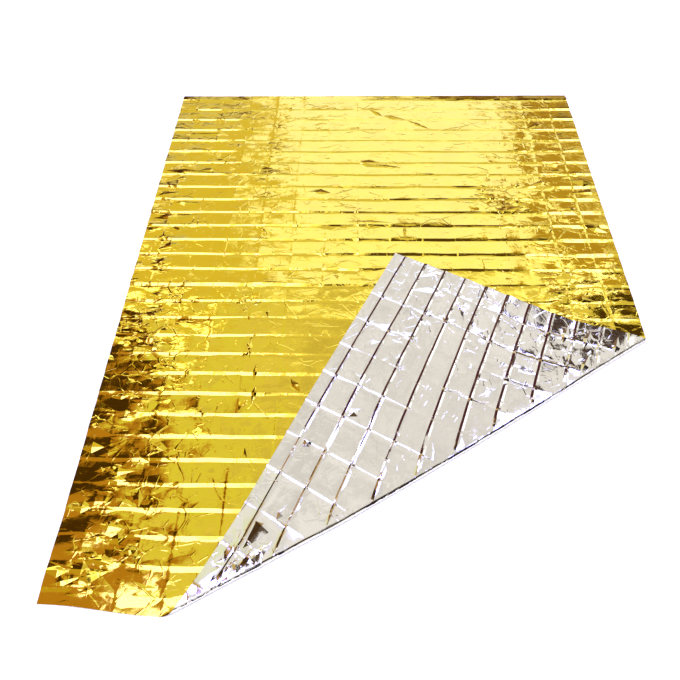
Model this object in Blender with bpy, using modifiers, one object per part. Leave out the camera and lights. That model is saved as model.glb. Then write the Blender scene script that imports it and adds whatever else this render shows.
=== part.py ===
"""Emergency foil blanket: one sheet of metallised film, opened out, with a corner turned back.

Metres, +Z up. The sheet lies on z = 0 with its width along X and its length along Y. Its
silver face is underneath and its gold face on top, except on the turned-back corner. The
origin is on the floor under the middle of the sheet's box.
"""

import math

import bmesh
import bpy
from mathutils import Vector, noise

# The sheet as it was cut.
SHEET_WIDTH = 1.600
SHEET_LENGTH = 2.100
FILM_THICKNESS = 0.001

# The creases of its pack: crosswise ones first, at equal steps up the sheet, and then
# lengthwise ones. Each stands up as a low ridge with one steep side.
CROSS_FIRST = 0.040
CROSS_PITCH = 0.070
CROSS_HEIGHT = 0.0034
LONG_FIRST = 0.068
LONG_PITCH = 0.1115
LONG_HEIGHT = 0.0016
STEEP_SIDE = 0.010
HEIGHT_SCATTER = 0.35
SCATTER_SEED = 7.0

# The fold that turns the corner back: its ends on the foot and on the right-hand edge of
# the sheet, the radius of its outer face, and the facets round it.
FOLD_FOOT = Vector((0.293, 0.0))
FOLD_SIDE = Vector((SHEET_WIDTH, 0.822))
FOLD_RADIUS = 0.005
FOLD_FACETS = 6
FOLD_CALM = 0.030

# How far the fold bows out past the straight line between its ends.
FOLD_BOW = (
    # share, bow
    (0.00, 0.004),
    (0.15, 0.021),
    (0.30, 0.026),
    (0.58, 0.024),
    (0.70, 0.015),
    (0.85, 0.009),
    (1.00, 0.003),
)

# The turned-back flap: the height at which it settles on the sheet, how soon it does, how
# soon its plan loses the bow of the fold, and how far its corner lifts.
FLAP_HEIGHT = 0.0095
FLAP_SETTLE = 0.10
FLAP_DRAW = 0.22
TIP_LIFT = 0.005
TIP_REACH = 0.15

# Where the creases stand higher or lower than elsewhere on the cut sheet. A crease's height
# is multiplied by one plus the sum of these, and never goes below nothing.
RELIEF = (
    # u, v, reach_u, reach_v, change
    (0.90, 1.84, 0.42, 0.26, -1.30),
    (0.92, 0.90, 0.30, 0.26, -1.40),
    (0.02, 0.55, 0.17, 0.75, 0.70),
    (1.55, 1.30, 0.16, 0.70, 0.50),
    (1.22, 1.42, 0.12, 0.10, 0.50),
    (0.80, 2.08, 0.80, 0.05, 0.40),
)

# Where the laid sheet is drawn out of square in plan.
PULLS = (
    # x, y, reach, shift_x, shift_y
    (0.000, 0.000, 0.16, 0.000, 0.021),
    (0.293, 0.000, 0.16, 0.000, -0.019),
)

# Finishes.
GOLD = (0.83, 0.60, 0.12)
SILVER = (0.80, 0.79, 0.77)
FILM_ROUGHNESS = 0.12


def film_material(name, colour):
    """A mirror-like metallised film."""
    material = bpy.data.materials.new(name)
    material.use_nodes = True
    shader = material.node_tree.nodes["Principled BSDF"]
    shader.inputs["Base Color"].default_value = (*colour, 1.0)
    shader.inputs["Metallic"].default_value = 1.0
    shader.inputs["Roughness"].default_value = FILM_ROUGHNESS
    return material


def smooth(share):
    """Goes from 0 to 1 without a corner as share does, and stays there."""
    share = min(1.0, max(0.0, share))
    return share * share * (3.0 - 2.0 * share)


def between(table, place):
    """Reads a two-column table at a place, in a straight line from row to row."""
    for (start, low), (end, high) in zip(table, table[1:]):
        if place <= end:
            share = max(0.0, (place - start) / (end - start))
            return low + (high - low) * share
    return table[-1][1]


def creases(first, pitch, side):
    """The places of the parallel creases along one side of the cut sheet."""
    count = int((side - first) / pitch) + 1
    return [first + pitch * step for step in range(count)]


def grid_lines(crease_places, side):
    """The mesh lines across one side: each crease and the foot of its steep side."""
    feet = [place - STEEP_SIDE for place in crease_places]
    return sorted([0.0, side, *crease_places, *feet])


def on_crease(place, crease_places):
    """True at a mesh line on a crease, and False at one along its foot."""
    return any(abs(place - crease) < STEEP_SIDE / 2 for crease in crease_places)


def relief(u, v):
    """How high the creases stand round a point of the cut sheet, against the usual height."""
    change = 0.0
    for centre_u, centre_v, reach_u, reach_v, amount in RELIEF:
        away = ((u - centre_u) / reach_u) ** 2 + ((v - centre_v) / reach_v) ** 2
        change += amount * math.exp(-away)
    scatter = noise.noise(Vector((u / LONG_PITCH, v / CROSS_PITCH, SCATTER_SEED)))
    return max(0.0, 1.0 + change) * (1.0 + HEIGHT_SCATTER * scatter)


class Fold:
    """The line across the cut sheet where its corner turns back."""

    def __init__(self, foot, side):
        self.foot = foot
        self.length = (side - foot).length
        self.along = (side - foot).normalized()
        self.out = Vector((self.along.y, -self.along.x))

    def lift_off(self, distance):
        """Where the sheet leaves the floor, outwards of the straight line between the ends."""
        return between(FOLD_BOW, distance / self.length) - FOLD_RADIUS

    def from_sheet(self, point):
        """(distance along the fold, distance past the place where the sheet lifts off)."""
        offset = point - self.foot
        distance = offset.dot(self.along)
        return distance, offset.dot(self.out) - self.lift_off(distance)

    def on_plan(self, distance, outwards):
        """The point of the plan that lies so far along the fold and outwards of it."""
        return self.foot + self.along * distance + self.out * outwards


def crease_rise(point, cross, long):
    """How far the creases lift a point of the cut sheet."""
    height = CROSS_HEIGHT * on_crease(point.y, cross) + LONG_HEIGHT * on_crease(point.x, long)
    return height * relief(point.x, point.y)


def laid(fold, distance, past, rise):
    """The place in space of a point of the sheet, given in the fold's terms."""
    start = fold.lift_off(distance)
    turn = math.pi * FOLD_RADIUS
    if past <= 0.0:
        calm = smooth(-past / FOLD_CALM)
        return fold.on_plan(distance, start + past), rise * calm
    if past < turn:
        angle = past / FOLD_RADIUS
        outwards = start + FOLD_RADIUS * math.sin(angle)
        return fold.on_plan(distance, outwards), FOLD_RADIUS * (1.0 - math.cos(angle))
    back = past - turn
    drawn = (2.0 * start + turn) * (1.0 - math.exp(-back / FLAP_DRAW))
    settled = math.exp(-back / FLAP_SETTLE)
    height = FLAP_HEIGHT + (2.0 * FOLD_RADIUS - FLAP_HEIGHT) * settled
    return fold.on_plan(distance, start - back - drawn), height + rise * smooth(back / FOLD_CALM)


def tip_lift(point):
    """How far the turned-back corner of the sheet curls up."""
    away = (point - Vector((SHEET_WIDTH, 0.0))).length / TIP_REACH
    return TIP_LIFT * math.exp(-away * away)


def pulled(plan):
    """The plan with the sheet's corners drawn out of square."""
    shift = Vector((0.0, 0.0))
    for x, y, reach, shift_x, shift_y in PULLS:
        away = (plan - Vector((x, y))).length / reach
        shift += Vector((shift_x, shift_y)) * math.exp(-away * away)
    return plan + shift


def flat_sheet(columns, rows):
    """The cut sheet as a grid whose lines stand on the creases and at their feet."""
    sheet = bmesh.new()
    across, up = len(columns) - 1, len(rows) - 1
    bmesh.ops.create_grid(sheet, x_segments=across, y_segments=up, size=1.0)
    for vertex in sheet.verts:
        column = round((vertex.co.x + 1.0) / 2.0 * across)
        row = round((vertex.co.y + 1.0) / 2.0 * up)
        vertex.co = (columns[column], rows[row], 0.0)
    return sheet


def cut_round_fold(sheet):
    """Adds the mesh lines of the bend, while Y is the distance past the sheet's lift-off."""
    for step in range(FOLD_FACETS + 1):
        place = math.pi * FOLD_RADIUS * step / FOLD_FACETS
        bmesh.ops.bisect_plane(
            sheet,
            geom=sheet.verts[:] + sheet.edges[:] + sheet.faces[:],
            dist=1e-6,
            plane_co=(0.0, place, 0.0),
            plane_no=(0.0, 1.0, 0.0),
        )


def film_mesh():
    """The folded and creased sheet's silver face, standing on the floor."""
    cross = creases(CROSS_FIRST, CROSS_PITCH, SHEET_LENGTH)
    long = creases(LONG_FIRST, LONG_PITCH, SHEET_WIDTH)
    sheet = flat_sheet(grid_lines(long, SHEET_WIDTH), grid_lines(cross, SHEET_LENGTH))
    fold = Fold(FOLD_FOOT, FOLD_SIDE)
    for vertex in sheet.verts:
        vertex.co.xy = fold.from_sheet(vertex.co.xy)
    cut_round_fold(sheet)
    for vertex in sheet.verts:
        distance, past = vertex.co.xy
        point = fold.on_plan(distance, past + fold.lift_off(distance))
        plan, height = laid(fold, distance, past, crease_rise(point, cross, long))
        vertex.co.xy = pulled(plan)
        vertex.co.z = height + tip_lift(point)
    mesh = bpy.data.meshes.new("foil_sheet")
    sheet.to_mesh(mesh)
    sheet.free()
    return mesh


def centred(mesh):
    """Moves a mesh so that the origin is under the middle of its box."""
    spans = [[vertex.co[axis] for vertex in mesh.vertices] for axis in (0, 1)]
    middle = [(min(span) + max(span)) / 2 for span in spans]
    for vertex in mesh.vertices:
        vertex.co.x -= middle[0]
        vertex.co.y -= middle[1]


def foil_sheet(collection):
    """The one piece: the film with its thickness, gold on top and silver underneath."""
    mesh = film_mesh()
    centred(mesh)
    mesh.materials.append(film_material("gold_film", GOLD))
    mesh.materials.append(film_material("silver_film", SILVER))
    sheet = bpy.data.objects.new("foil_sheet", mesh)
    collection.objects.link(sheet)
    thickness = sheet.modifiers.new("film_thickness", "SOLIDIFY")
    thickness.thickness = FILM_THICKNESS
    thickness.offset = 1.0
    thickness.material_offset = 1
    return sheet


def main():
    for old in list(bpy.data.objects):
        bpy.data.objects.remove(old)
    collection = bpy.data.collections.new("emergency_foil_blanket")
    bpy.context.scene.collection.children.link(collection)
    foil_sheet(collection)


main()
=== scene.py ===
"""Emergency foil blanket: a thin gold and silver film, opened out, with one corner turned back.

Metres, +Z up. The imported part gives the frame, and this script makes the film that shows in it,
its two finishes, and a pale stage with soft light.
"""

import math
import random

import bmesh
import bpy
from bpy.props import FloatProperty, FloatVectorProperty, IntProperty, PointerProperty
from bpy.types import Operator, Panel, PropertyGroup
from mathutils import Euler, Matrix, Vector, noise


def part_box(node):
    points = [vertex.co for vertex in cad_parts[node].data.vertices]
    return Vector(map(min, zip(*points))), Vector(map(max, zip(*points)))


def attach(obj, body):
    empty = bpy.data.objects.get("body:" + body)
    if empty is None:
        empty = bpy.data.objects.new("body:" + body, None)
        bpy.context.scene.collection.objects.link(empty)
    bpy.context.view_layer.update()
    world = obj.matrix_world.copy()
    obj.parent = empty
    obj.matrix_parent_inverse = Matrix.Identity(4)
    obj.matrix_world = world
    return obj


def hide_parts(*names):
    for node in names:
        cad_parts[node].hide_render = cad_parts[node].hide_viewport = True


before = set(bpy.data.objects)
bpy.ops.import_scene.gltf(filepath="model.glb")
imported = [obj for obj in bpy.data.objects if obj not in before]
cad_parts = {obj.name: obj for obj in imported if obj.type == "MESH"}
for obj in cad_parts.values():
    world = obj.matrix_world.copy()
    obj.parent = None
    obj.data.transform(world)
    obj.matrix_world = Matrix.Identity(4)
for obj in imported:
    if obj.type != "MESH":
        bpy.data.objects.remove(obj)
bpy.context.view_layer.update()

bl_info = {
    "name": "Foil blanket",
    "version": (1, 0, 0),
    "blender": (4, 5, 0),
    "location": "3D View > Sidebar > Foil blanket",
    "description": "Makes an opened foil blanket with pack creases and one corner turned back",
    "category": "Add Mesh",
}

NODE = "foil_sheet"
BODY = "root"

# The ends of the fold, on the foot and on the right-hand edge of the cut sheet.
FOLD_FOOT = Vector((0.293, 0.0))
FOLD_SIDE = Vector((1.600, 0.822))

# How far the fold bows out past the straight line between its ends.
FOLD_BOW = (
    # share, bow
    (0.00, 0.004),
    (0.15, 0.027),
    (0.30, 0.037),
    (0.45, 0.038),
    (0.58, 0.036),
    (0.70, 0.032),
    (0.85, 0.026),
    (1.00, 0.021),
)

# Where the laid sheet is drawn out of square in plan.
PULLS = (
    # x, y, reach_x, reach_y, shift_x, shift_y
    (0.000, 0.000, 0.16, 0.16, -0.004, 0.011),
    (0.293, 0.000, 0.16, 0.16, 0.000, -0.014),
)

# Where the side of the turned-back corner is drawn in, and how far past the fold it fully is.
FLAP_PULLS = (
    (1.600, 0.000, 0.60, 0.30, -0.020, 0.010),
    (1.600, 0.560, 0.60, 0.32, -0.034, 0.004),
)
FLAP_PULL_START = 0.20

# Each row from here to the crumpled places is a soft round patch of the cut sheet: u, v,
# reach_u, reach_v and the change at its middle.

# How high the crosswise creases stand, against the usual: one plus the sum of these.
CROSS_RELIEF = (
    (0.95, 2.05, 0.50, 0.45, -0.72),
    (1.25, 2.07, 0.40, 0.03, 1.50),
    (0.95, 1.25, 0.45, 0.20, 0.85),
    (0.33, 1.02, 0.32, 0.03, 1.60),
    (0.30, 0.05, 0.50, 0.22, -0.35),
    (0.60, 0.85, 0.25, 0.18, -0.35),
    (0.00, 1.60, 0.24, 0.70, 0.70),
    (0.00, 0.45, 0.15, 0.45, -0.80),
    (0.40, 0.40, 0.25, 0.40, 0.35),
    (1.55, 0.95, 0.16, 0.25, -0.30),
    (1.54, 1.98, 0.15, 0.42, 0.75),
    (1.54, 1.35, 0.15, 0.22, 0.55),
    (0.38, 1.75, 0.12, 0.40, -0.55),
    (0.55, 2.07, 0.50, 0.025, -0.45),
)

# The same on the turned-back corner, whose right half is creased more sharply.
FLAP_RELIEF = (
    (1.35, 0.40, 0.55, 0.60, 0.80),
    (0.30, 0.00, 0.50, 0.40, -0.20),
)

# How high the lengthwise creases stand, in the same way.
LONG_RELIEF = (
    (0.95, 1.60, 0.55, 0.55, -0.60),
    (0.05, 1.60, 0.25, 0.50, -0.50),
    (0.50, 0.70, 0.25, 0.45, -0.50),
    (0.52, 1.75, 0.10, 0.50, -0.50),
    (0.15, 0.40, 0.30, 0.50, -0.55),
)

# Where the crosswise creases flare at the lengthwise ones, instead of thinning out.
FLARES = (
    (0.15, 1.00, 0.45, 1.00, 0.45),
    (1.55, 1.30, 0.15, 0.70, 0.30),
    (0.95, 1.25, 0.40, 0.22, 0.30),
)

# How much wider than plain the crosswise fronts are, against the widest.
WIDE_FRONTS = (
    (0.30, 1.02, 0.35, 0.03, 0.30),
    (1.52, 1.40, 0.14, 0.70, 0.30),
    (0.20, 1.45, 0.35, 0.55, -0.25),
)

# Where the crosswise fronts are hollow, so that only their crests are steep.
SHARP_LINES = (
    (0.95, 1.85, 0.45, 0.35, 0.70),
    (1.55, 1.40, 0.14, 0.80, -0.50),
    (0.05, 1.40, 0.30, 1.00, -0.50),
    (0.95, 1.25, 0.40, 0.20, -0.40),
)

# Where the crosswise creases are even along their length, and how strong they are there.
EVEN_LINES = ((1.54, 1.65, 0.14, 0.70, 1.00),)
EVEN_STRENGTH = 0.8

# How far the panels between the creases belly up or down.
PILLOWS = (
    (0.04, 0.50, 0.20, 0.62, 0.0027),
    (0.05, 1.60, 0.25, 0.60, 0.0008),
    (1.50, 1.00, 0.20, 0.25, 0.0010),
)

# Crumpled places of the film, and how strongly it is crumpled there.
CRUMPLES = (
    (0.42, 1.60, 0.045, 0.50, 0.40),
    (0.27, 1.72, 0.120, 0.28, 0.25),
    (0.10, 1.60, 0.100, 0.50, 0.12),
    (0.10, 0.86, 0.110, 0.14, 0.70),
    (0.20, 0.40, 0.080, 0.50, 0.35),
    (1.25, 1.45, 0.090, 0.11, 0.75),
    (1.41, 1.62, 0.025, 0.38, 0.30),
    (1.40, 0.97, 0.060, 0.10, 0.50),
    (0.38, 0.95, 0.040, 0.04, 1.00),
    (0.85, 1.02, 0.280, 0.10, 0.40),
    (0.70, 1.30, 0.080, 0.22, 0.30),
)

# The same on the turned-back corner.
FLAP_CRUMPLES = (
    (1.50, 0.20, 0.120, 0.20, 0.20),
    (1.50, 0.68, 0.120, 0.14, 0.11),
    (0.45, 0.03, 0.080, 0.05, 0.70),
)

# The least angle, in degrees, between two facets whose shared edge is sharp.
CREASE_ANGLE = 9.0

# Single pressed facets, in millimetres: low pyramids on kite-shaped bases, each from a start to
# an end, so wide on the side of the foot and on the other, with its top at a share of the way.
PRESSED = (
    # start_u, start_v, end_u, end_v, front, back, height, peak
    (780, 2000, 835, 1950, 12, 10, 2.6, 0.60),
    (835, 1955, 930, 1925, 14, 12, 2.2, 0.35),
    (930, 1925, 1020, 1860, 9, 9, 1.4, 0.50),
    (740, 1650, 900, 1615, 18, 24, 2.8, 0.20),
    (560, 1475, 640, 1470, 10, 22, 3.4, 0.50),
    (690, 1315, 860, 1310, 40, 12, 2.6, 0.55),
    (900, 1305, 895, 1230, 6, 8, 1.8, 0.50),
    (545, 651, 576, 603, 10, 12, 3.4, 0.50),
    (416, 790, 420, 720, 7, 8, 2.0, 0.45),
    (441, 700, 438, 640, 6, 7, 2.0, 0.50),
    (445, 625, 440, 560, 8, 7, 2.2, 0.40),
    (11, 1335, 185, 1356, 20, 16, 4.0, 0.50),
    (10, 1600, 190, 1585, 16, 14, 3.4, 0.40),
    (20, 1825, 227, 1838, 8, 8, 1.6, 0.50),
    (1500, 1318, 1590, 1262, 22, 18, 4.2, 0.60),
    (1395, 1860, 1470, 1895, 18, 20, 3.4, 0.80),
    (1360, 1515, 1430, 1535, 14, 16, 3.0, 0.75),
    (1170, 1475, 1245, 1425, 16, 14, 3.4, 0.50),
    (1290, 1440, 1345, 1385, 18, 14, 4.0, 0.50),
    (1225, 1365, 1330, 1400, 16, 16, 3.4, 0.60),
    (600, 62, 524, 47, 20, 18, 4.4, 0.10),
    (451, 52, 576, 95, 14, 14, 4.0, 0.55),
    (622, 81, 673, 87, 7, 7, 2.6, 0.40),
    (825, 52, 858, 70, 12, 10, 3.4, 0.50),
    (965, 120, 1005, 142, 14, 12, 3.4, 0.50),
    (1485, 742, 1575, 735, 8, 10, 4.4, 0.60),
    (1490, 708, 1575, 712, 10, 12, 5.2, 0.50),
    (1380, 632, 1480, 650, 8, 12, 4.0, 0.50),
    (1490, 630, 1575, 640, 12, 10, 4.8, 0.50),
    (1490, 572, 1575, 576, 12, 12, 5.0, 0.50),
    (1440, 510, 1520, 512, 8, 8, 2.6, 0.50),
    (1400, 960, 1480, 950, 10, 18, 4.0, 0.50),
)

# Where small pressed facets lie thickly. The turns and their spread are in degrees, and the
# steepness is against the usual.
CRINKLED = (
    # u, v, reach_u, reach_v, count, length, turn, spread, steepness
    (0.42, 1.62, 0.026, 0.42, 44, 0.026, 80, 70, 0.7),
    (0.27, 1.72, 0.090, 0.26, 24, 0.030, 30, 90, 0.4),
    (0.10, 1.25, 0.080, 0.42, 26, 0.070, 5, 20, 0.5),
    (0.09, 0.45, 0.070, 0.44, 66, 0.056, 4, 18, 0.75),
    (0.20, 0.40, 0.070, 0.40, 22, 0.040, 40, 60, 0.7),
    (0.10, 0.86, 0.080, 0.12, 10, 0.060, 15, 50, 1.0),
    (1.25, 1.44, 0.070, 0.08, 20, 0.034, 40, 90, 1.0),
    (1.41, 1.62, 0.014, 0.36, 24, 0.034, 82, 30, 0.8),
    (1.38, 0.98, 0.045, 0.12, 22, 0.060, 5, 25, 1.0),
    (0.38, 0.95, 0.040, 0.05, 8, 0.034, 60, 60, 1.0),
    (0.85, 1.02, 0.260, 0.05, 16, 0.036, 20, 90, 0.8),
    (0.42, 0.70, 0.030, 0.30, 10, 0.036, 85, 40, 1.0),
    (0.46, 0.04, 0.050, 0.02, 12, 0.030, 10, 50, 1.4),
    (1.34, 0.34, 0.160, 0.22, 34, 0.080, 30, 90, 0.32),
    (1.22, 0.12, 0.200, 0.10, 18, 0.070, 60, 90, 0.32),
    (1.47, 0.60, 0.060, 0.12, 8, 0.045, 10, 40, 0.7),
    (1.52, 1.40, 0.050, 0.26, 8, 0.090, 3, 8, 0.7),
)

# The ranges of a small pressed facet: its steepness, its width against its length, its length
# against the usual, and its top's place along it; and its scatter across, against the reach.
CRINKLE_SLOPES = (0.10, 0.34)
CRINKLE_WIDTHS = (0.12, 0.30)
CRINKLE_LENGTHS = (0.5, 1.4)
CRINKLE_PEAKS = (0.25, 0.75)
CRINKLE_SCATTER = 0.6

# The ranges of a crosswise crease's strength at the lengthwise ones and between them, of a
# lengthwise one's, and of the place of a panel's top.
CROSS_ENDS = (0.35, 0.85)
CROSS_MIDDLES = (0.50, 1.40)
LONG_STRENGTHS = (0.3, 1.5)
PANEL_TOPS = (0.28, 0.72)

# How much of a panel's belly is a pyramid; the rest is a cushion.
PYRAMID_SHARE = 0.6

# The seeds of the random draws.
PANEL_SEED = 11
FACET_SEED = 23
CRUMPLE_SEED = 5
STRAY_SEED = 3

# How the creases stray: a slow drift and a quick shake.
STRAYS = (
    # waves a metre across and up, layer of the noise, share
    (3.0, 6.0, 4.0, 1.0),
    (15.0, 10.0, 9.0, 0.5),
)

# How far a vertex in a fully crumpled place may leave its panel.
CRUMPLE_PUSH = 0.0004

# The width of a plain crosswise front, and of one on the flap, against the widest.
PLAIN_FRONT = 0.70
FLAP_FRONT = 0.45

# How high the lengthwise creases stand on the flap, against the usual, and how far the
# strength of the crosswise ones is evened out there.
FLAP_LONG_RELIEF = 1.6
FLAP_EVENNESS = 0.5

# How hollow the fronts are: 1 is straight.
CROSS_CURVE = 1.5
LONG_CURVE = 1.6
FLAP_CURVE = 1.7

# The least share of its usual height that a crease keeps.
LEAST_CROSS = 0.12
LEAST_LONG = 0.1

# How near the edges the creases stop straying, and how many reaches out a patch ends.
EDGE_BAND = 0.08
PATCH_END = 3.0

# How clear of the edges the mesh lines stay, in lips, and how near a vertex a cut takes it.
CLEAR_EDGE = 0.3
CUT_SNAP = 1e-5

# The mesh lines on the front of a crease, as shares of its width.
CROSS_LINES = (1.0, 0.70, 0.45, 0.20)
LONG_LINES = (1.0, 0.45)


def metres(name, description, default):
    """A setting that is a length."""
    return FloatProperty(name=name, description=description, default=default, unit="LENGTH")


class SheetSizes(PropertyGroup):
    """The film as it was cut, and the mesh that stands for it."""

    width: metres("Width", "Width of the cut sheet", 1.600)
    length: metres("Length", "Length of the cut sheet", 2.100)
    thickness: metres("Thickness", "Thickness of the film", 0.0005)
    fill_across: IntProperty(
        name="Lines across", description="Mesh lines between two lengthwise creases", default=3
    )
    fill_up: IntProperty(
        name="Lines up", description="Mesh lines between two crosswise creases", default=3
    )


class PackCreases(PropertyGroup):
    """The creases that the pack has left in the film."""

    cross_first: metres("First crosswise", "Foot of the sheet to the first crosswise crease", 0.040)
    cross_pitch: metres("Crosswise step", "One crosswise crease to the next", 0.070)
    cross_height: metres("Crosswise height", "How far a crosswise crease stands up", 0.0026)
    cross_front: metres(
        "Crosswise front", "Width of the widest steep front of a crosswise crease", 0.014
    )
    long_first: metres(
        "First lengthwise", "Left side of the sheet to the first lengthwise crease", 0.068
    )
    long_pitch: metres("Lengthwise step", "One lengthwise crease to the next", 0.1115)
    long_height: metres("Lengthwise height", "How far a lengthwise crease stands up", 0.0008)
    long_front: metres("Lengthwise front", "Width of the steep front of a lengthwise crease", 0.007)
    lip: metres("Lip", "Width of the short drop behind a crest", 0.005)
    lip_share: FloatProperty(
        name="Lip share", description="Share of a crease's height that is lost in its lip",
        default=0.15, subtype="FACTOR",
    )
    flap_lip_share: FloatProperty(
        name="Lip share on the flap", description="The same share on the turned-back corner",
        default=0.40, subtype="FACTOR",
    )
    tilt: metres("Panel tilt", "How far a panel's corners stand out of the flat", 0.0004)
    wander: metres("Wander", "How far a crease strays from a straight line", 0.0035)


class TurnedCorner(PropertyGroup):
    """The corner that is turned back over the sheet."""

    radius: metres("Bend radius", "Radius of the outer face of the fold", 0.0075)
    facets: IntProperty(name="Bend facets", description="Facets round the fold", default=12)
    calm: metres("Calm band", "How far the creases fade on each side of the fold", 0.030)
    flap_calm: metres("Flap's calm band", "How far the creases fade over the flap", 0.018)
    height: metres("Flap height", "Height at which the flap settles on the sheet", 0.0095)
    settle: metres("Settling", "How soon the flap comes down from the fold", 0.10)
    draw: metres("Drawing in", "How soon the flap's plan loses the bow of the fold", 0.22)
    tip_lift: metres("Corner lift", "How far the flap's corner curls up", 0.005)
    tip_reach: metres("Corner reach", "How much of the flap's corner curls up", 0.15)


class FilmFinish(PropertyGroup):
    """The colours and the gloss of the two faces."""

    gold: FloatVectorProperty(
        name="Gold", description="Colour of the lacquered face", subtype="COLOR",
        default=(0.93, 0.695, 0.018),
    )
    silver: FloatVectorProperty(
        name="Silver", description="Colour of the bare aluminium face", subtype="COLOR",
        default=(0.97, 0.955, 0.93),
    )
    roughness: FloatProperty(
        name="Roughness", description="Roughness of the metal layer", default=0.07, subtype="FACTOR"
    )


class StudioLight(PropertyGroup):
    """The stage and its light."""

    floor: FloatVectorProperty(
        name="Floor", description="Colour of the floor", subtype="COLOR", default=(0.9, 0.9, 0.9)
    )
    overhead: FloatProperty(
        name="Overhead light", description="Strength of the even light on the floor", default=2.6
    )


def smooth(share):
    """Goes from 0 to 1 without a corner as share does, and stays there."""
    share = min(1.0, max(0.0, share))
    return share * share * (3.0 - 2.0 * share)


def mixed(first, second, share):
    """A number between two others, at a share of the way."""
    return first * (1.0 - share) + second * share


def between(table, place):
    """Reads a two-column table at a place, in a straight line from row to row."""
    for (start, low), (end, high) in zip(table, table[1:]):
        if place <= end:
            share = max(0.0, (place - start) / (end - start))
            return low + (high - low) * share
    return table[-1][1]


def patches(table, u, v):
    """The sum of a table of soft round patches at a place on the cut sheet."""
    total = 0.0
    for centre_u, centre_v, reach_u, reach_v, amount in table:
        away = ((u - centre_u) / reach_u) ** 2 + ((v - centre_v) / reach_v) ** 2
        if away < PATCH_END ** 2:
            total += amount * math.exp(-away)
    return total


class Creases:
    """A set of parallel creases along one side of the cut sheet."""

    def __init__(self, first, pitch, side, front, lip):
        self.first = first
        self.pitch = pitch
        self.side = side
        self.front = front
        self.lip = lip
        self.count = int((side - first) / pitch) + 1

    def owner(self, place):
        """(number, signed distance past its crest) of the crease whose slopes hold a place."""
        number = math.floor((place - self.first + self.front) / self.pitch)
        return number + 1, place - self.first - self.pitch * number

    def panel(self, place):
        """(number, share of the way across) of the panel that holds a place."""
        steps = (place - self.first) / self.pitch
        number = math.floor(steps)
        return number + 1, steps - number

    def shape(self, number, away, width, lip_share, curve):
        """A crease's height past its crest: steep front, short lip, and a long even slope."""
        if away <= 0.0:
            return max(0.0, 1.0 + away / (self.front * width)) ** curve
        if away < self.lip:
            return 1.0 - lip_share * away / self.lip
        foot = min(self.pitch - self.front, self.side - self.first - self.pitch * (number - 1))
        return (1.0 - lip_share) * max(0.0, (foot - away) / (foot - self.lip))

    def lines(self, shares, fill):
        """The mesh lines: some on each crease's front and lip, and the fill before the next."""
        lines = set()
        gap = self.pitch - self.front - self.lip
        for number in range(-1, self.count + 1):
            crest = self.first + self.pitch * number
            lines.update(crest - self.front * share for share in shares)
            lines.update((crest, crest + self.lip))
            lines.update(crest + self.lip + gap * step / (fill + 1) for step in range(1, fill + 1))
        close = self.lip * CLEAR_EDGE
        clear = [line for line in sorted(lines) if close < line < self.side - close]
        return [0.0, *clear, self.side]


class Fold:
    """The line across the cut sheet where its corner turns back."""

    def __init__(self, foot, side, radius):
        self.foot = foot
        self.length = (side - foot).length
        self.along = (side - foot).normalized()
        self.out = Vector((self.along.y, -self.along.x))
        self.radius = radius

    def lift_off(self, distance):
        """Where the sheet leaves the floor, outwards of the straight line between the ends."""
        return between(FOLD_BOW, distance / self.length) - self.radius

    def from_sheet(self, point):
        """(distance along the fold, distance past the place where the sheet lifts off)."""
        offset = point - self.foot
        distance = offset.dot(self.along)
        return distance, offset.dot(self.out) - self.lift_off(distance)

    def on_plan(self, distance, outwards):
        """The point of the plan that lies so far along the fold and outwards of it."""
        return self.foot + self.along * distance + self.out * outwards


# The side of the squares of the cut sheet by which facets and faces are filed.
SQUARE = 0.05


def square(point):
    """The square of the cut sheet that holds a point."""
    return math.floor(point.x / SQUARE), math.floor(point.y / SQUARE)


def squares_round(low, high):
    """The squares that a box of the cut sheet touches, and those beside them."""
    first, last = square(low), square(high)
    for column in range(first[0] - 1, last[0] + 2):
        for row in range(first[1] - 1, last[1] + 2):
            yield column, row


class Facet:
    """A single pressed facet: a low pyramid on a kite-shaped base."""

    def __init__(self, start, end, front, back, height, peak):
        self.start = start
        self.length = (end - start).length
        self.along = (end - start).normalized()
        self.out = Vector((self.along.y, -self.along.x))
        self.peak = self.length * peak
        self.front = front
        self.back = back
        self.height = height
        top = start + self.along * self.peak
        self.corners = (start, top + self.out * front, end, top - self.out * back)

    def edges(self):
        """The pairs of points between which its edges run."""
        start, front, end, back = self.corners
        return (start, end), (front, back), (start, front), (front, end), (end, back), (back, start)

    def rise(self, point):
        """How far it lifts a point of the cut sheet."""
        offset = point - self.start
        along, out = offset.dot(self.along), offset.dot(self.out)
        side = self.front if out >= 0.0 else self.back
        share = min(along / self.peak, (self.length - along) / (self.length - self.peak))
        return self.height * max(0.0, share - abs(out) / side)


def pressed_facets():
    """All the single pressed facets: the placed ones, and then the scattered ones."""
    made = []
    for *spans, peak in PRESSED:
        start_u, start_v, end_u, end_v, *widths = (span / 1000 for span in spans)
        made.append(Facet(Vector((start_u, start_v)), Vector((end_u, end_v)), *widths, peak))
    chance = random.Random(FACET_SEED)
    for u, v, reach_u, reach_v, count, length, turn, spread, steepness in CRINKLED:
        for _ in range(count):
            across = chance.gauss(u, reach_u * CRINKLE_SCATTER)
            middle = Vector((across, chance.uniform(v - reach_v, v + reach_v)))
            angle = math.radians(turn + chance.uniform(-spread, spread))
            long = length * chance.uniform(*CRINKLE_LENGTHS)
            half = Vector((math.cos(angle), math.sin(angle))) * long / 2
            front, back = (long * chance.uniform(*CRINKLE_WIDTHS) for _ in range(2))
            height = min(front, back) * chance.uniform(*CRINKLE_SLOPES) * steepness
            peak = chance.uniform(*CRINKLE_PEAKS)
            made.append(Facet(middle - half, middle + half, front, back, height, peak))
    return made


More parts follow.
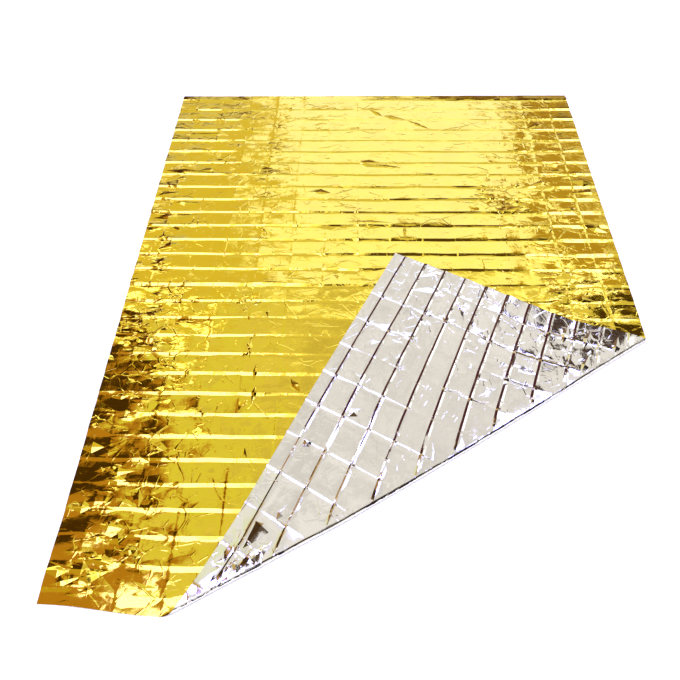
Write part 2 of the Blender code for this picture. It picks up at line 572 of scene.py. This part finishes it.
def filed(pressed):
    """The pressed facets by the squares of the cut sheet that they touch."""
    files = {}
    for facet in pressed:
        for place in squares_round(*box_round(facet.corners)):
            files.setdefault(place, []).append(facet)
    return files


class Film:
    """How far every point of the cut sheet stands out of the flat."""

    def __init__(self, sizes, packed, fold):
        self.cross = Creases(
            packed.cross_first, packed.cross_pitch, sizes.length, packed.cross_front, packed.lip
        )
        self.long = Creases(
            packed.long_first, packed.long_pitch, sizes.width, packed.long_front, packed.lip
        )
        self.packed = packed
        self.fold = fold
        self.facets = pressed_facets()
        self.files = filed(self.facets)
        chance = random.Random(PANEL_SEED)
        across, up = self.long.count + 3, self.cross.count + 3

        def scattered(low, high):
            return [[chance.uniform(low, high) for _ in range(up)] for _ in range(across)]

        self.corner = scattered(-1.0, 1.0)
        self.belly = scattered(-1.0, 1.0)
        self.cross_ends = scattered(*CROSS_ENDS)
        self.cross_middle = scattered(*CROSS_MIDDLES)
        self.peak_across = scattered(*PANEL_TOPS)
        self.peak_up = scattered(*PANEL_TOPS)
        self.long_strength = scattered(*LONG_STRENGTHS)

    def on_flap(self, u, v):
        """0 on the sheet and 1 on the part that is turned back."""
        past = self.fold.from_sheet(Vector((u, v)))[1]
        return smooth(past / (math.pi * self.fold.radius))

    def lip_share(self, flap):
        """The share of a crease's height that is lost in its lip."""
        return mixed(self.packed.lip_share, self.packed.flap_lip_share, flap)

    def tilted_panel(self, u, v):
        """The gentle tilt and the belly of the panel between its four corners."""
        column, across = self.long.panel(u)
        row, up = self.cross.panel(v)
        left, right = self.corner[column], self.corner[column + 1]
        low, high = (mixed(left[end], right[end], across) for end in (row, row + 1))
        peak_across, peak_up = self.peak_across[column][row], self.peak_up[column][row]
        pyramid = min(
            across / peak_across, (1 - across) / (1 - peak_across),
            up / peak_up, (1 - up) / (1 - peak_up),
        )
        cushion = math.sin(math.pi * across) * math.sin(math.pi * up)
        belly = mixed(cushion, pyramid, PYRAMID_SHARE) * self.belly[column][row]
        tilt = mixed(low, high, up) * self.packed.tilt
        pillow = patches(PILLOWS, u, v)
        return tilt + belly * (self.packed.tilt + pillow) + pillow

    def cross_crease(self, u, v, flap):
        """The crosswise crease here, whose height swells between the lengthwise ones."""
        number, away = self.cross.owner(v)
        column, across = self.long.panel(u)
        crest = v - away
        left, right = self.cross_ends[column], self.cross_ends[column + 1]
        ends = mixed(left[number], right[number], across)
        ends += patches(FLARES, u, crest)
        strength = mixed(ends, self.cross_middle[column][number], math.sin(math.pi * across))
        strength = mixed(strength, EVEN_STRENGTH, patches(EVEN_LINES, u, crest))
        if flap > 0.5:
            extra = patches(FLAP_RELIEF, u, crest)
            relief, width, curve = 1.0 + extra, FLAP_FRONT, max(1.0, FLAP_CURVE - extra)
            strength = mixed(strength, 1.0, FLAP_EVENNESS)
        else:
            relief = max(LEAST_CROSS, 1.0 + patches(CROSS_RELIEF, u, crest))
            width = PLAIN_FRONT + patches(WIDE_FRONTS, u, crest)
            curve = CROSS_CURVE + patches(SHARP_LINES, u, crest)
        shape = self.cross.shape(number, away, width, self.lip_share(flap), curve)
        return self.packed.cross_height * relief * strength * shape

    def long_crease(self, u, v, flap):
        """The lengthwise crease here."""
        number, away = self.long.owner(u)
        row, up = self.cross.panel(v)
        strengths = self.long_strength[number]
        strength = mixed(strengths[row], strengths[row + 1], up)
        relief = FLAP_LONG_RELIEF
        if flap <= 0.5:
            relief = max(LEAST_LONG, 1.0 + patches(LONG_RELIEF, u - away, v))
        shape = self.long.shape(number, away, 1.0, self.lip_share(flap), LONG_CURVE)
        return self.packed.long_height * relief * strength * shape

    def rise(self, u, v):
        """How far a point of the cut sheet stands up, apart from its crumples."""
        flap = self.on_flap(u, v)
        point = Vector((u, v))
        pressed = sum(facet.rise(point) for facet in self.files.get(square(point), ()))
        creases = self.cross_crease(u, v, flap) + self.long_crease(u, v, flap)
        return self.tilted_panel(u, v) + creases + pressed

    def strayed(self, point):
        """A point of the cut sheet, moved as its creases stray from their straight lines."""
        push = Vector()
        for across, up, layer, share in STRAYS:
            push += noise.noise_vector(Vector((point.x * across, point.y * up, layer))) * share
        push *= self.packed.wander
        edge = min(point.x, self.long.side - point.x, point.y, self.cross.side - point.y)
        return point + Vector((push.x, push.y)) * smooth(edge / EDGE_BAND)


def laid(corner, fold, distance, past, rise):
    """The place in space of a point of the sheet, given in the fold's terms."""
    start = fold.lift_off(distance)
    turn = math.pi * fold.radius
    if past <= 0.0:
        calm = smooth(-past / corner.calm)
        return fold.on_plan(distance, start + past), max(0.0, rise * calm)
    if past < turn:
        angle = past / fold.radius
        outwards = start + fold.radius * math.sin(angle)
        return fold.on_plan(distance, outwards), fold.radius * (1.0 - math.cos(angle))
    back = past - turn
    drawn = (2.0 * start + turn) * (1.0 - math.exp(-back / corner.draw))
    settled = math.exp(-back / corner.settle)
    height = corner.height + (2.0 * fold.radius - corner.height) * settled
    calm = smooth(back / corner.flap_calm)
    return fold.on_plan(distance, start - back - drawn), height + rise * calm


def pulled(table, point, share=1.0):
    """A flat point, moved by a share of a table of soft round pulls."""
    shift = Vector((0.0, 0.0))
    for x, y, reach_x, reach_y, shift_x, shift_y in table:
        away = ((point.x - x) / reach_x) ** 2 + ((point.y - y) / reach_y) ** 2
        shift += Vector((shift_x, shift_y)) * math.exp(-away)
    return point + shift * share


def deselect_all():
    """Leaves nothing selected, so that an operator acts on the new piece only."""
    bpy.ops.object.select_all(action="DESELECT")


def flat_sheet(columns, rows):
    """The cut sheet as a grid object whose lines stand on the creases and beside them."""
    deselect_all()
    bpy.ops.mesh.primitive_grid_add(
        x_subdivisions=len(columns) - 1, y_subdivisions=len(rows) - 1, size=2.0
    )
    sheet = bpy.context.active_object
    sheet.name = "foil_film"
    for vertex in sheet.data.vertices:
        column = round((vertex.co.x + 1.0) / 2.0 * (len(columns) - 1))
        row = round((vertex.co.y + 1.0) / 2.0 * (len(rows) - 1))
        vertex.co = (columns[column], rows[row], 0.0)
    return sheet


def cut_round_fold(shape, radius, facets):
    """Adds the mesh lines of the bend, while Y is the distance past the sheet's lift-off."""
    for step in range(facets + 1):
        bmesh.ops.bisect_plane(
            shape,
            geom=shape.verts[:] + shape.edges[:] + shape.faces[:],
            dist=CUT_SNAP,
            plane_co=(0.0, math.pi * radius * step / facets, 0.0),
            plane_no=(0.0, 1.0, 0.0),
        )


def box_round(points):
    """The lowest and the highest corner of the box round some points of the flat sheet."""
    across, up = zip(*points)
    return Vector((min(across), min(up))), Vector((max(across), max(up)))


def cut_round_facets(shape, pressed):
    """Adds the edges of the pressed facets to the flat sheet's mesh."""
    files = {}
    for face in shape.faces:
        files.setdefault(square(face.calc_center_median()), {})[face] = True
    for facet in pressed:
        faces = {}
        for place in squares_round(*box_round(facet.corners)):
            faces.update(files.get(place, {}))
        for first, second in facet.edges():
            low, high = box_round((first, second))
            near = [face for face in faces if touches(face, low, high)]
            parts = dict.fromkeys(part for face in near for part in (face, *face.edges, *face.verts))
            run = (second - first).normalized()
            cut = bmesh.ops.bisect_plane(
                shape,
                geom=list(parts),
                dist=CUT_SNAP,
                plane_co=(first.x, first.y, 0.0),
                plane_no=(run.y, -run.x, 0.0),
            )
            for part in cut["geom"]:
                if isinstance(part, bmesh.types.BMFace) and part not in faces:
                    faces[part] = True
                    files.setdefault(square(part.calc_center_median()), {})[part] = True


def touches(face, low, high):
    """True if a face's box meets a box of the flat sheet."""
    for axis in (0, 1):
        places = [vertex.co[axis] for vertex in face.verts]
        if max(places) < low[axis] or min(places) > high[axis]:
            return False
    return True


def shape_film(sheet, film, corner, sizes):
    """Turns the corner over, raises the creases and crumples the film."""
    fold = film.fold
    chance = random.Random(CRUMPLE_SEED)
    noise.seed_set(STRAY_SEED)
    shape = bmesh.new()
    shape.from_mesh(sheet.data)
    cut_round_facets(shape, film.facets)
    for vertex in shape.verts:
        vertex.co.xy = fold.from_sheet(vertex.co.xy)
    cut_round_fold(shape, corner.radius, corner.facets)
    place = shape.verts.layers.float_vector.new("cut_place")
    crumpled = shape.verts.layers.float.new("crumple")
    tip = Vector((sizes.width, 0.0))
    for vertex in shape.verts:
        distance, past = vertex.co.xy
        point = fold.on_plan(distance, past + fold.lift_off(distance))
        crumple = patches(CRUMPLES if past < 0.0 else FLAP_CRUMPLES, point.x, point.y)
        rise = film.rise(point.x, point.y) + crumple * chance.uniform(-1.0, 1.0) * CRUMPLE_PUSH
        vertex[place] = (point.x, point.y, 0.0)
        vertex[crumpled] = min(1.0, crumple)
        drawn = pulled(FLAP_PULLS, film.strayed(point), smooth(past / FLAP_PULL_START))
        distance, past = fold.from_sheet(drawn)
        plan, height = laid(corner, fold, distance, past, rise)
        away = (point - tip).length / corner.tip_reach
        vertex.co.xy = pulled(PULLS, plan)
        vertex.co.z = height + corner.tip_lift * math.exp(-away * away)
    for face in shape.faces:
        face.smooth = True
    shape.to_mesh(sheet.data)
    shape.free()


def seated(sheet):
    """Moves the film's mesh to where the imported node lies."""
    low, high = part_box(NODE)
    spans = [[vertex.co[axis] for vertex in sheet.data.vertices] for axis in (0, 1)]
    for axis, span in enumerate(spans):
        shift = (low[axis] + high[axis] - min(span) - max(span)) / 2
        for vertex in sheet.data.vertices:
            vertex.co[axis] += shift


def feed(tree, made, inputs):
    """Gives a node's inputs numbers, vectors or other nodes' outputs."""
    for name, value in inputs.items():
        if isinstance(value, bpy.types.NodeSocket):
            tree.links.new(value, made.inputs[name])
        else:
            made.inputs[name].default_value = value


def node(tree, kind, inputs=None, **settings):
    """A new shader node with its settings and its inputs."""
    made = tree.nodes.new(kind)
    for name, value in settings.items():
        setattr(made, name, value)
    feed(tree, made, inputs or {})
    return made


def maths(tree, operation, first, second=0.0):
    """The output of a Math node."""
    return node(tree, "ShaderNodeMath", {0: first, 1: second}, operation=operation).outputs[0]


def vector_maths(tree, operation, first, second=(0.0, 0.0, 0.0)):
    """The output of a Vector Math node."""
    return node(tree, "ShaderNodeVectorMath", {0: first, 1: second}, operation=operation).outputs[0]


def scaled(tree, vector, amount):
    """A vector times a number."""
    inputs = {0: vector, "Scale": amount}
    return node(tree, "ShaderNodeVectorMath", inputs, operation="SCALE").outputs[0]


def blended(tree, share, first, second, label=""):
    """The output of a Mix node between two colours."""
    inputs = {"Factor": share, "A": first, "B": second}
    return node(tree, "ShaderNodeMix", inputs, data_type="RGBA", label=label).outputs["Result"]


def ramped(tree, value, start, end, low=0.0, high=1.0):
    """A number that goes smoothly from low to high as value goes from start to end."""
    inputs = {"Value": value, "From Min": start, "From Max": end, "To Min": low, "To Max": high}
    return node(tree, "ShaderNodeMapRange", inputs, interpolation_type="SMOOTHSTEP").outputs["Result"]


def cloudy(tree, place, scale, detail=2.0, output="Fac"):
    """The output of a Noise Texture node."""
    inputs = {"Vector": place, "Scale": scale, "Detail": detail}
    return node(tree, "ShaderNodeTexNoise", inputs).outputs[output]


def cells_of(tree, place, feature, scale, stretch, turn):
    """(outputs of the cells, the place in them) for a place on the sheet, scaled and turned."""
    spans = (scale, scale * stretch, scale)
    inputs = {"Vector": place, "Rotation": (0.0, 0.0, math.radians(turn)), "Scale": spans}
    mapped = node(tree, "ShaderNodeMapping", inputs).outputs[0]
    cells = node(tree, "ShaderNodeTexVoronoi", {"Vector": mapped, "Scale": 1.0}, feature=feature)
    return cells.outputs, mapped


def new_material(name):
    """(a new material, its nodes, its shader)."""
    material = bpy.data.materials.new(name)
    material.use_nodes = True
    tree = material.node_tree
    return material, tree, tree.nodes["Principled BSDF"]


# The layers of fine facets in the film, from broad to fine.
FACET_LAYERS = (
    # scale, stretch, turn, lean everywhere, lean where crumpled
    (9.0, 2.6, 6.0, 0.020, 0.11),
    (16.0, 2.2, -24.0, 0.020, 0.12),
    (30.0, 1.8, 58.0, 0.015, 0.07),
)

# How far a facet curves, against its lean.
FACET_CURVE = 0.8


def facet_lean(tree, place, scale, stretch, turn, amount):
    """A lean for each long narrow facet of the crumpled film: few strong, and each curved."""
    cells, mapped = cells_of(tree, place, "F1", scale, stretch, turn)
    parts = node(tree, "ShaderNodeSeparateXYZ", {0: cells["Color"]}).outputs
    strong = maths(tree, "POWER", parts["Z"], 2.0)
    lean = vector_maths(tree, "SUBTRACT", cells["Color"], (0.5, 0.5, 0.5))
    curve = vector_maths(tree, "SUBTRACT", mapped, cells["Position"])
    lean = vector_maths(tree, "ADD", lean, scaled(tree, curve, FACET_CURVE))
    lean = vector_maths(tree, "MULTIPLY", lean, (2.0, 2.0, 0.0))
    return scaled(tree, lean, maths(tree, "MULTIPLY", strong, amount))


# The layers of fine raised wrinkles, where the film's facets meet.
WEB_LAYERS = (
    # cells in a metre, turn, half width, height
    (11.0, 20.0, 0.045, 0.00032),
    (24.0, -35.0, 0.070, 0.00016),
)
WEB_STRETCH = 1.4

# The levels of a cloudy pattern between which they come in.
WEB_SHOWN = (0.46, 0.62)


def web(tree, place, scale, turn, half_width):
    """1 on the edges between the cells of a crumpled film, and 0 away from them."""
    cells, mapped = cells_of(tree, place, "DISTANCE_TO_EDGE", scale, WEB_STRETCH, turn)
    edge = ramped(tree, cells["Distance"], 0.0, half_width, 1.0, 0.0)
    shown = ramped(tree, cloudy(tree, mapped, 0.9), *WEB_SHOWN)
    return maths(tree, "MULTIPLY", edge, shown)


# The scales of the cloudy patterns in the film's colour, its gloss, the warp of its facets and
# its finest crinkles, the crinkles' height and the warp's reach.
TONE_SCALE = 9.0
WEAR_SCALE = 40.0
WARP_SCALE = 14.0
CRINKLE_SCALE = 28.0
CRINKLE_HEIGHT = 0.0005
WARP_REACH = 0.015

# The clear layer over the metal.
COAT_ROUGHNESS = 0.03
COAT_IOR = 1.50


def film_material(name, colour, deeper, roughness, lively):
    """A mirror-like metallised film with fine crinkles."""
    material, tree, shader = new_material(name)
    place = node(tree, "ShaderNodeAttribute", attribute_name="cut_place").outputs["Vector"]
    crumple = node(tree, "ShaderNodeAttribute", attribute_name="crumple").outputs["Fac"]
    share = ramped(tree, cloudy(tree, place, TONE_SCALE, 3.0), 0.35, 0.75)
    wear = cloudy(tree, place, WEAR_SCALE)

    warp = cloudy(tree, place, WARP_SCALE, output="Color")
    push = scaled(tree, vector_maths(tree, "SUBTRACT", warp, (0.5, 0.5, 0.5)), WARP_REACH)
    warped = vector_maths(tree, "ADD", place, push)
    lean = None
    for scale, stretch, turn, base, crumpled in FACET_LAYERS:
        amount = maths(tree, "ADD", maths(tree, "MULTIPLY", crumple, crumpled), base * lively)
        layer = facet_lean(tree, warped, scale, stretch, turn, amount)
        lean = layer if lean is None else vector_maths(tree, "ADD", lean, layer)
    normal = node(tree, "ShaderNodeNewGeometry").outputs["Normal"]
    leaning = vector_maths(tree, "NORMALIZE", vector_maths(tree, "ADD", normal, lean))

    height = maths(tree, "MULTIPLY", cloudy(tree, place, CRINKLE_SCALE, 4.0), CRINKLE_HEIGHT)
    wrinkled = maths(tree, "ADD", maths(tree, "MULTIPLY", crumple, 1.5), 0.8)
    for scale, turn, half_width, raised in WEB_LAYERS:
        ridge = maths(tree, "MULTIPLY", web(tree, warped, scale, turn, half_width), raised)
        height = maths(tree, "ADD", height, maths(tree, "MULTIPLY", ridge, wrinkled))
    inputs = {"Strength": 1.0, "Distance": 1.0, "Height": height, "Normal": leaning}
    bump = node(tree, "ShaderNodeBump", inputs).outputs["Normal"]
    feed(tree, shader, {
        "Base Color": blended(tree, share, (*colour, 1.0), (*deeper, 1.0)),
        "Metallic": 1.0,
        "Roughness": ramped(tree, wear, 0.3, 0.8, roughness * 0.7, roughness * 1.5),
        "Normal": bump,
        "Coat Weight": 1.0,
        "Coat Roughness": COAT_ROUGHNESS,
        "Coat IOR": COAT_IOR,
        "Coat Normal": bump,
    })
    return material


def thickened(sheet, thickness):
    """Gives the film its thickness upwards, with gold on top and silver underneath."""
    modifier = sheet.modifiers.new("film_thickness", "SOLIDIFY")
    modifier.thickness = thickness
    modifier.offset = 1.0
    modifier.material_offset = 1
    bpy.context.view_layer.objects.active = sheet
    bpy.ops.object.modifier_apply(modifier=modifier.name)


def creased(sheet):
    """Keeps the film's curves smooth and its creases sharp."""
    deselect_all()
    sheet.select_set(True)
    bpy.context.view_layer.objects.active = sheet
    bpy.ops.object.shade_smooth_by_angle(angle=math.radians(CREASE_ANGLE))


# The two faces: each finish, its colour's setting, how much of the colour is left where it is
# deeper, and how lively its facets are.
FACES = (
    ("gold_film", "gold", (0.96, 0.93, 1.00), 1.00),
    ("silver_film", "silver", (0.94, 0.94, 0.94), 0.45),
)


class FOIL_OT_make_sheet(Operator):
    """Makes the creased film with its turned corner, and gives it its two finishes"""

    bl_idname = "foil_blanket.make_sheet"
    bl_label = "Make the foil sheet"

    def execute(self, context):
        scene = context.scene
        sizes, packed, corner = scene.foil_sizes, scene.foil_creases, scene.foil_corner
        finish = scene.foil_finish
        film = Film(sizes, packed, Fold(FOLD_FOOT, FOLD_SIDE, corner.radius))
        columns = film.long.lines(LONG_LINES, sizes.fill_across)
        rows = film.cross.lines(CROSS_LINES, sizes.fill_up)
        sheet = flat_sheet(columns, rows)
        shape_film(sheet, film, corner, sizes)
        seated(sheet)
        sheet.data.materials.clear()
        for name, setting, shade, lively in FACES:
            colour = tuple(getattr(finish, setting))
            deeper = tuple(part * share for part, share in zip(colour, shade))
            material = film_material(name, colour, deeper, finish.roughness, lively)
            sheet.data.materials.append(material)
        thickened(sheet, sizes.thickness)
        creased(sheet)
        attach(sheet, BODY)
        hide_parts(NODE)
        return {"FINISHED"}


# The lit and dark panels of the dome, as they would lie on a level ceiling one metre up.
DOME_MIDDLE = (0.78, 0.74, 0.67)
DOME_PANELS = (
    # name, from_x, to_x, from_y, to_y, edge, light
    ("warm left", -1.40, -0.37, 0.60, 1.70, 0.09, (0.64, 0.46, 0.20)),
    ("brown edge", -1.10, -0.43, 0.80, 1.35, 0.05, (0.40, 0.22, 0.08)),
    ("left room", -0.50, -0.19, 0.40, 0.97, 0.05, (0.80, 0.82, 0.50)),
    ("back left", -0.60, -0.26, 0.97, 1.90, 0.05, (0.78, 0.68, 0.26)),
    ("key rim", -0.24, 0.46, 1.13, 1.85, 0.03, (1.10, 1.10, 1.10)),
    ("key low rim", -0.17, 0.48, 1.00, 1.20, 0.03, (1.10, 1.10, 1.10)),
    ("key", -0.20, 0.42, 1.15, 1.80, 0.03, (1.22, 1.33, 2.4)),
    ("key low", -0.13, 0.44, 1.04, 1.21, 0.03, (1.22, 1.33, 2.1)),
    ("ochre side", 0.455, 0.66, 1.00, 2.20, 0.02, (0.50, 0.35, 0.11)),
    ("dark overhead", -0.02, 0.26, -0.30, 0.20, 0.04, (0.10, 0.06, 0.03)),
    ("dark behind", 0.28, 1.80, -1.40, 0.10, 0.04, (0.03, 0.02, 0.02)),
    ("dark right", 0.42, 1.80, 0.05, 0.24, 0.04, (0.03, 0.02, 0.02)),
    ("dark far right", 0.60, 1.80, 0.20, 0.36, 0.04, (0.03, 0.02, 0.02)),
    ("dark side", 0.66, 1.30, 0.78, 1.10, 0.04, (0.10, 0.06, 0.04)),
    ("far side", 0.64, 1.70, 0.52, 0.70, 0.04, (1.60, 1.60, 1.60)),
    ("glow left", -0.90, -0.05, -0.72, 0.26, 0.08, (1.6, 1.6, 2.4)),
    ("bright left", -0.90, -0.15, -0.62, 0.10, 0.06, (2.6, 2.7, 9.0)),
    ("bright gate", -0.40, -0.13, 0.04, 0.32, 0.03, (2.6, 2.7, 9.0)),
    ("gold low left", -1.40, -0.345, -0.90, 0.30, 0.03, (0.56, 0.40, 0.12)),
    ("glow right", 0.275, 0.42, 0.22, 0.58, 0.015, (1.6, 1.6, 2.8)),
    ("bright right", 0.285, 0.41, 0.24, 0.55, 0.015, (2.6, 2.7, 9.0)),
    ("brown left", -1.10, -0.315, 0.16, 0.93, 0.05, (0.50, 0.26, 0.085)),
    ("black left", -1.00, -0.400, 0.45, 0.88, 0.05, (0.06, 0.03, 0.01)),
    ("left lamp", -1.00, -0.62, 1.10, 1.90, 0.04, (1.8, 1.8, 2.4)),
    ("left window rim", -0.52, -0.34, 0.88, 1.05, 0.02, (1.35, 1.35, 1.20)),
    ("left window", -0.50, -0.36, 0.91, 1.02, 0.02, (2.6, 2.7, 4.5)),
    ("right window rim", 0.35, 0.58, 0.925, 1.11, 0.02, (1.35, 1.35, 1.20)),
    ("right window", 0.37, 0.56, 0.945, 1.09, 0.02, (2.4, 2.4, 5.0)),
    ("low right", 0.462, 0.70, 0.80, 1.035, 0.012, (0.06, 0.035, 0.02)),
)

# What stands low round the sheet, in degrees, turning left from +X.
LOW_PANELS = (
    # name, from_turn, to_turn, from_height, to_height, edge, light
    ("front gap", 70, 100, 13, 25, 2.0, (0.22, 0.13, 0.07)),
    ("dark front left", 96, 114, 10, 22, 1.5, (0.10, 0.045, 0.04)),
    ("dark curtain", 111, 128, 10, 31, 1.5, (0.08, 0.022, 0.022)),
    ("wall", -200, 200, -5, 10, 2.0, (0.72, 0.68, 0.62)),
    ("back wall", 60, 99, -8, 12, 2.0, (0.40, 0.25, 0.09)),
    ("dark back wall", 98, 130, -8, 12, 2.0, (0.12, 0.05, 0.035)),
    ("dark low right", -105, -15, -8, 11, 2.0, (0.03, 0.02, 0.02)),
)

# The scale of the clouds in the dome's light, and their range.
CLOUD_SCALE = 9.0
CLOUD_LIGHT = (0.84, 1.12)

# The heights, in degrees, at which the dome's panels show.
DOME_HEIGHTS = (6.0, 200.0)

# What a camera sees past the floor.
BACKDROP = (0.92, 0.92, 0.92, 1.0)


def panel_share(tree, pairs, edge):
    """How much of a dome panel a direction sees: each value lies between its two limits."""
    share = 1.0
    for value, start, end in pairs:
        inside = ramped(tree, value, start - edge, start + edge)
        inside = maths(tree, "MULTIPLY", inside, ramped(tree, value, end + edge, end - edge))
        share = maths(tree, "MULTIPLY", inside, share)
    return share


def studio_dome(scene):
    """A world whose light falls on the film as a studio's ceiling and walls would."""
    world = bpy.data.worlds.new("studio_dome")
    scene.world = world
    world.use_nodes = True
    tree = world.node_tree
    tree.nodes.clear()
    direction = node(tree, "ShaderNodeTexCoord").outputs["Generated"]
    axes = node(tree, "ShaderNodeSeparateXYZ", {0: direction}).outputs
    up = maths(tree, "MAXIMUM", axes["Z"], 0.001)
    across = maths(tree, "DIVIDE", axes["X"], up)
    along = maths(tree, "DIVIDE", axes["Y"], up)
    turn = maths(tree, "DEGREES", maths(tree, "ARCTAN2", axes["Y"], axes["X"]))
    height = maths(tree, "DEGREES", maths(tree, "ARCSINE", axes["Z"]))

    shade = ramped(tree, cloudy(tree, direction, CLOUD_SCALE), 0.3, 0.7, *CLOUD_LIGHT)
    light = scaled(tree, DOME_MIDDLE, shade)
    for name, start_x, end_x, start_y, end_y, edge, colour in DOME_PANELS:
        pairs = ((across, start_x, end_x), (along, start_y, end_y), (height, *DOME_HEIGHTS))
        light = blended(tree, panel_share(tree, pairs, edge), light, (*colour, 1.0), name)
    for name, start_turn, end_turn, start_height, end_height, edge, colour in LOW_PANELS:
        pairs = ((turn, start_turn, end_turn), (height, start_height, end_height))
        light = blended(tree, panel_share(tree, pairs, edge), light, (*colour, 1.0), name)
    seen = node(tree, "ShaderNodeLightPath").outputs["Is Camera Ray"]
    dome, backdrop = (
        node(tree, "ShaderNodeBackground", {"Color": sky}).outputs[0] for sky in (light, BACKDROP)
    )
    shown = node(tree, "ShaderNodeMixShader", {0: seen, 1: dome, 2: backdrop}).outputs[0]
    node(tree, "ShaderNodeOutputWorld", {"Surface": shown})


FLOOR_RADIUS = 30.0
FLOOR_DROP = 0.0004


def stage_floor(colour):
    """A wide pale floor under the sheet."""
    deselect_all()
    bpy.ops.mesh.primitive_circle_add(
        vertices=96, radius=FLOOR_RADIUS, fill_type="NGON", location=(0.0, 0.0, -FLOOR_DROP)
    )
    floor = bpy.context.active_object
    floor.name = "stage_floor"
    bpy.ops.object.transform_apply(location=True, rotation=True, scale=True)
    material, tree, shader = new_material("pale_floor")
    feed(tree, shader, {"Base Color": (*colour, 1.0), "Roughness": 0.9, "Specular IOR Level": 0.0})
    floor.data.materials.append(material)


def overhead_light(strength):
    """An even light from above that brightens the floor and doesn't show in the film."""
    light = bpy.data.lights.new("overhead", "SUN")
    light.energy = strength
    light.angle = math.radians(60.0)
    lamp = bpy.data.objects.new("overhead", light)
    lamp.location = (0.0, 0.0, 4.0)
    lamp.visible_glossy = False
    bpy.context.scene.collection.objects.link(lamp)


# The camera, in metres, millimetres and radians.
CAMERA_PLACE = (-0.06554, -1.49469, 1.58984)
CAMERA_TURN = (0.66471, 0.01501, 0.01940)
CAMERA_LENS = 35.481


def camera(scene):
    """Looks down on the sheet from its foot."""
    lens = bpy.data.cameras.new("camera")
    lens.sensor_width = 36.0
    lens.lens = CAMERA_LENS
    seat = bpy.data.objects.new("camera", lens)
    seat.location = CAMERA_PLACE
    seat.rotation_euler = Euler(CAMERA_TURN, "XYZ")
    scene.collection.objects.link(seat)
    scene.camera = seat


class FOIL_OT_make_stage(Operator):
    """Makes the floor, the light and the camera"""

    bl_idname = "foil_blanket.make_stage"
    bl_label = "Make the stage"

    def execute(self, context):
        scene = context.scene
        studio = scene.foil_studio
        stage_floor(tuple(studio.floor))
        studio_dome(scene)
        overhead_light(studio.overhead)
        camera(scene)
        scene.view_settings.view_transform = "Standard"
        return {"FINISHED"}


class FOIL_PT_blanket(Panel):
    """The foil blanket's settings and makers"""

    bl_idname = "FOIL_PT_blanket"
    bl_label = "Foil blanket"
    bl_space_type = "VIEW_3D"
    bl_region_type = "UI"
    bl_category = "Foil blanket"

    def draw(self, context):
        layout = self.layout
        for settings in SETTINGS:
            group = getattr(context.scene, settings)
            box = layout.box()
            for name in group.__annotations__:
                box.prop(group, name)
        layout.operator(FOIL_OT_make_sheet.bl_idname)
        layout.operator(FOIL_OT_make_stage.bl_idname)


SETTINGS = {
    "foil_sizes": SheetSizes,
    "foil_creases": PackCreases,
    "foil_corner": TurnedCorner,
    "foil_finish": FilmFinish,
    "foil_studio": StudioLight,
}
CLASSES = (*SETTINGS.values(), FOIL_OT_make_sheet, FOIL_OT_make_stage, FOIL_PT_blanket)


def register():
    for made in CLASSES:
        bpy.utils.register_class(made)
    for name, group in SETTINGS.items():
        setattr(bpy.types.Scene, name, PointerProperty(type=group))


def unregister():
    for name in SETTINGS:
        delattr(bpy.types.Scene, name)
    for made in reversed(CLASSES):
        bpy.utils.unregister_class(made)


def main():
    register()
    bpy.ops.foil_blanket.make_sheet()
    bpy.ops.foil_blanket.make_stage()


if __name__ == "__main__":
    main()
